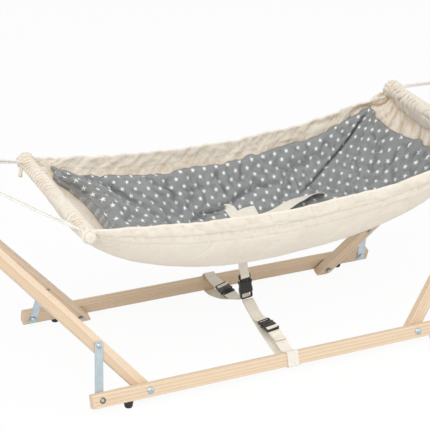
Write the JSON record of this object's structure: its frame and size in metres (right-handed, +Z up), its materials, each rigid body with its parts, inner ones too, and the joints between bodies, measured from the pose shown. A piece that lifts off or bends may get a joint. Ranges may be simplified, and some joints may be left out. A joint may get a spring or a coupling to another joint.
{
  "type": "baby hammock with stand",
  "caption": "Baby hammock hung between two A-frames of a low wooden stand, with a padded liner, a harness and a strap that ties it down.",
  "frame": {"origin": "on the floor under the middle of the stand", "axes": "+X along the rails towards the higher end of the hammock, +Y to the rear rail, +Z up"},
  "size_m": [1.86, 0.5068, 0.648],
  "materials": {
    "beech": "planed beech with a clear matt oil",
    "steel": "zinc-plated, slightly blue",
    "rubber": "black, matt",
    "cotton": "natural unbleached cotton canvas, creased",
    "liner": "grey printed cotton with small white stars, quilted",
    "rope": "off-white braided cord",
    "webbing": "natural cotton webbing",
    "plastic": "black acetal, satin"
  },
  "bodies": {
    "stand": {"rail_front": "beech", "rail_rear": "beech", "leg_front_left": "beech", "brace_front_left": "steel", "pivot_bolt_front_left": "steel", "pivot_spacer_front_left": "steel", "brace_knob_front_left": "steel", "brace_nut_front_left": "steel", "brace_screw_front_left": "steel", "foot_front_left": "rubber", "leg_front_right": "beech", "brace_front_right": "steel", "pivot_bolt_front_right": "steel", "pivot_spacer_front_right": "steel", "brace_knob_front_right": "steel", "brace_nut_front_right": "steel", "brace_screw_front_right": "steel", "foot_front_right": "rubber", "leg_rear_left": "beech", "brace_rear_left": "steel", "pivot_bolt_rear_left": "steel", "pivot_spacer_rear_left": "steel", "brace_knob_rear_left": "steel", "brace_nut_rear_left": "steel", "brace_screw_rear_left": "steel", "foot_rear_left": "rubber", "leg_rear_right": "beech", "brace_rear_right": "steel", "pivot_bolt_rear_right": "steel", "pivot_spacer_rear_right": "steel", "brace_knob_rear_right": "steel", "brace_nut_rear_right": "steel", "brace_screw_rear_right": "steel", "foot_rear_right": "rubber", "head_bolt_left": "steel", "hanger_plate_left": "steel", "head_bolt_right": "steel", "hanger_plate_right": "steel", "tether_buckle_front": "plastic", "tether_buckle_rear": "plastic", "tether_strap_front": "webbing", "tether_strap_rear": "webbing"},
    "hammock": {"spreader_bar_left": "beech", "spreader_bar_right": "beech", "hammock_cloth": "cotton", "padded_liner": "liner", "snap_hook_left": "steel", "snap_hook_right": "steel", "hanging_rope_left": "rope", "hanging_rope_right": "rope", "tether_buckle_male": "plastic", "tether_strap_upper": "webbing", "harness_strap_left": "webbing", "harness_strap_right": "webbing", "harness_strap_front": "webbing", "harness_buckle": "plastic"},
    "tether_socket": {"tether_buckle_female": "plastic"},
    "hook_gate_left": {"snap_hook_gate_left": "steel"},
    "hook_gate_right": {"snap_hook_gate_right": "steel"}
  },
  "joints": [
    {"name": "hammock_swing", "type": "hinge", "parent": "stand", "child": "hammock", "pos_m": [0, 0, 0.60935], "axis": [1, 0, 0], "range_deg": [-18, 18]},
    {"name": "tether_release", "type": "slide", "parent": "stand", "child": "tether_socket", "axis": [0.1219, 0, -0.9925], "range_m": [0, 0.035], "deforming": ["tether_strap_front", "tether_strap_rear"]},
    {"name": "hook_gate_left_hinge", "type": "hinge", "parent": "hammock", "child": "hook_gate_left", "pos_m": [-0.83221, 0.013, 0.59993], "axis": [-0.4225, 0, -0.9064], "range_deg": [0, 25], "stiffness_Nm_per_rad": 0.02, "springref_deg": -20.05},
    {"name": "hook_gate_right_hinge", "type": "hinge", "parent": "hammock", "child": "hook_gate_right", "pos_m": [0.83142, 0.013, 0.60187], "axis": [-0.3355, 0, 0.942], "range_deg": [0, 25], "stiffness_Nm_per_rad": 0.02, "springref_deg": -20.05}
  ]
}
